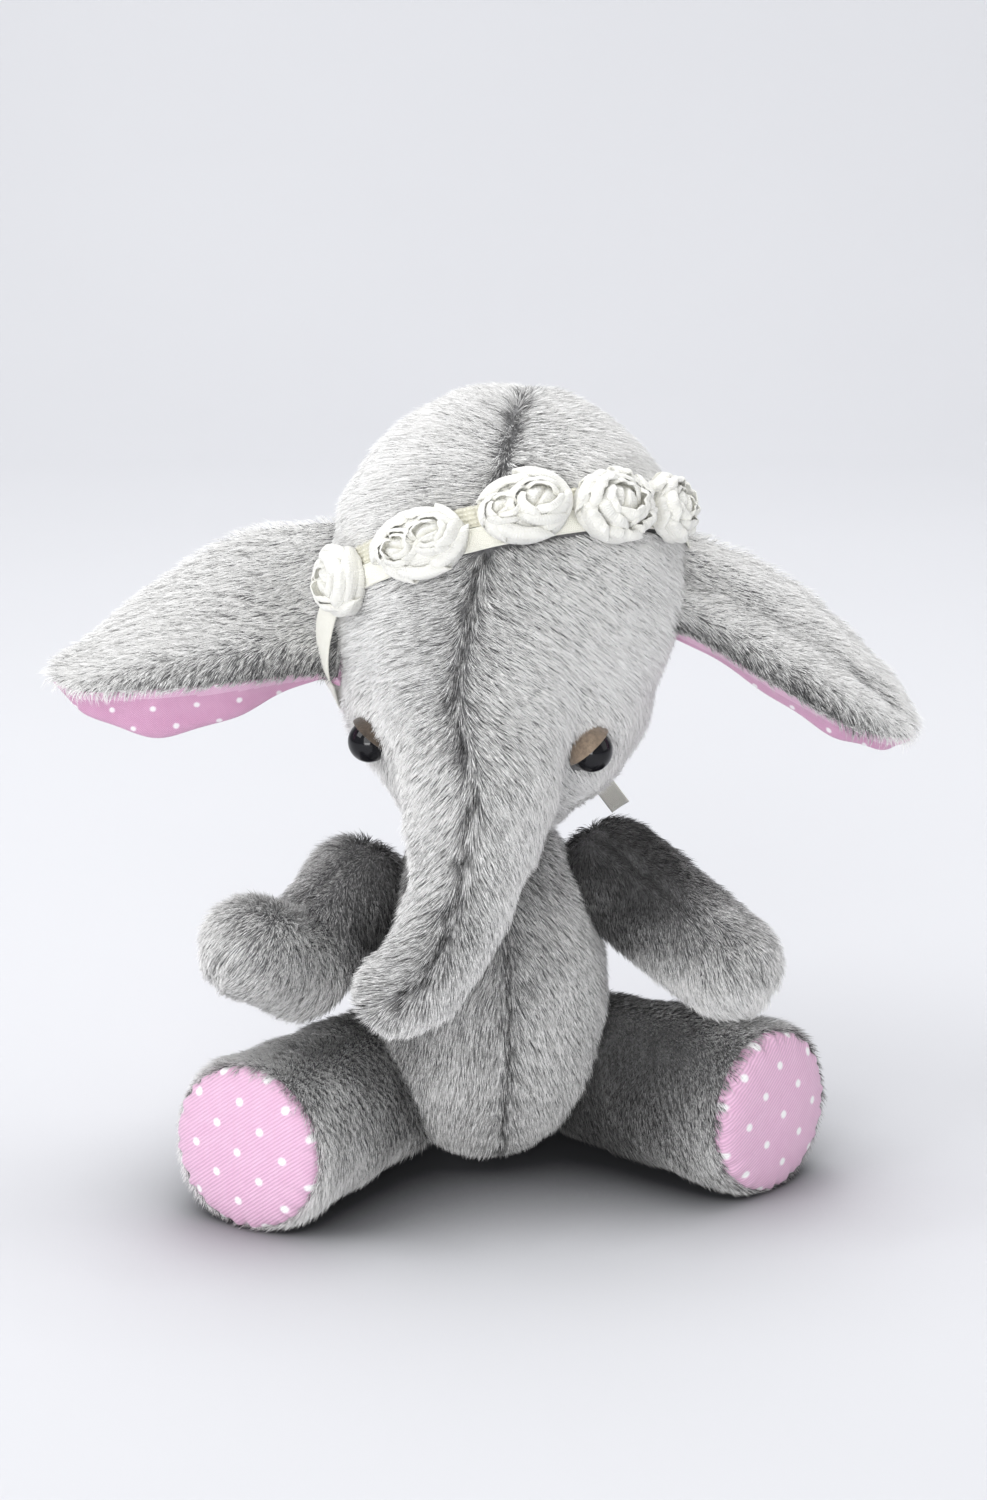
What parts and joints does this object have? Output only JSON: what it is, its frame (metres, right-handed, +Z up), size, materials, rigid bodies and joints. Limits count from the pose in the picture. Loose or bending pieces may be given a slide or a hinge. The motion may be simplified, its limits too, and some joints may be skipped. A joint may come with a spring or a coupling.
{
  "type": "stuffed elephant",
  "caption": "Disc-jointed plush elephant sitting with legs spread, pin-dot cotton ear linings and foot pads, glass eyes and a ribbon headband of organza roses.",
  "frame": {"origin": "middle of the flat patch on the underside of the body that the toy sits on", "axes": "+Z up, the face and the feet point towards -Y, +X is on the right of someone looking at the face"},
  "size_m": [0.2155, 0.1074, 0.1974],
  "materials": {
    "plush": "short silver-tipped plush, charcoal at the roots",
    "stuffing": "polyester fibre filling",
    "pin_dot_cotton": "pink twill cotton with small white dots",
    "black_glass": "polished black glass dome",
    "lock_washer": "white nylon",
    "suede": "brown suede",
    "ribbon": "cream woven ribbon",
    "net": "beige knitted net",
    "organza": "cream organza",
    "hardboard": "pressed brown hardboard",
    "steel": "bright steel"
  },
  "bodies": {
    "torso": {"body_panel_left": "plush", "body_panel_right": "plush", "body_stuffing": "stuffing", "tail": "plush", "neck_body_disc": "hardboard", "neck_washer": "steel", "shoulder_left_body_disc": "hardboard", "shoulder_left_washer": "steel", "shoulder_right_body_disc": "hardboard", "shoulder_right_washer": "steel", "hip_left_body_disc": "hardboard", "hip_left_washer": "steel", "hip_right_body_disc": "hardboard", "hip_right_washer": "steel"},
    "head": {"head_panel_left": "plush", "ear_left_plush": "plush", "ear_left_lining": "pin_dot_cotton", "eye_left": "black_glass", "eye_left_washer": "lock_washer", "eyelid_left": "suede", "head_panel_right": "plush", "ear_right_plush": "plush", "ear_right_lining": "pin_dot_cotton", "eye_right": "black_glass", "eye_right_washer": "lock_washer", "eyelid_right": "suede", "head_stuffing": "stuffing", "headband_ribbon": "ribbon", "headband_tie": "ribbon", "headband_knot": "ribbon", "headband_net": "net", "rose_1": "organza", "rose_2": "organza", "rose_3": "organza", "rose_4": "organza", "rose_5": "organza", "neck_head_disc": "hardboard", "neck_pin": "steel"},
    "arm_left": {"arm_left_inner_panel": "plush", "arm_left_outer_panel": "plush", "arm_left_stuffing": "stuffing", "shoulder_left_arm_disc": "hardboard", "shoulder_left_pin": "steel"},
    "arm_right": {"arm_right_inner_panel": "plush", "arm_right_outer_panel": "plush", "arm_right_stuffing": "stuffing", "shoulder_right_arm_disc": "hardboard", "shoulder_right_pin": "steel"},
    "leg_left": {"leg_left_cover": "plush", "leg_left_foot_pad": "pin_dot_cotton", "leg_left_stuffing": "stuffing", "hip_left_leg_disc": "hardboard", "hip_left_pin": "steel"},
    "leg_right": {"leg_right_cover": "plush", "leg_right_foot_pad": "pin_dot_cotton", "leg_right_stuffing": "stuffing", "hip_right_leg_disc": "hardboard", "hip_right_pin": "steel"}
  },
  "joints": [
    {"name": "neck_swivel", "type": "hinge", "parent": "torso", "child": "head", "pos_m": [0, 0, 0.087], "axis": [0, 0, 1], "range_deg": [-10, 30]},
    {"name": "shoulder_left_swing", "type": "hinge", "parent": "torso", "child": "arm_left", "pos_m": [-0.023, -0.0016, 0.0664], "axis": [-0.928, -0.0499, 0.3692], "range_deg": [-80, 55]},
    {"name": "shoulder_right_swing", "type": "hinge", "parent": "torso", "child": "arm_right", "pos_m": [0.0224, 0.0018, 0.0682], "axis": [-0.9269, -0.0698, -0.3688], "range_deg": [-3, 60]},
    {"name": "hip_left_swing", "type": "hinge", "parent": "torso", "child": "leg_left", "pos_m": [-0.0212, -0.0028, 0.0214], "axis": [0.9326, 0.1201, 0.3402], "range_deg": [-12, 100]},
    {"name": "hip_right_swing", "type": "hinge", "parent": "torso", "child": "leg_right", "pos_m": [0.0206, 0.0058, 0.0214], "axis": [0.9063, 0.2504, -0.3405], "range_deg": [-3, 100]}
  ]
}
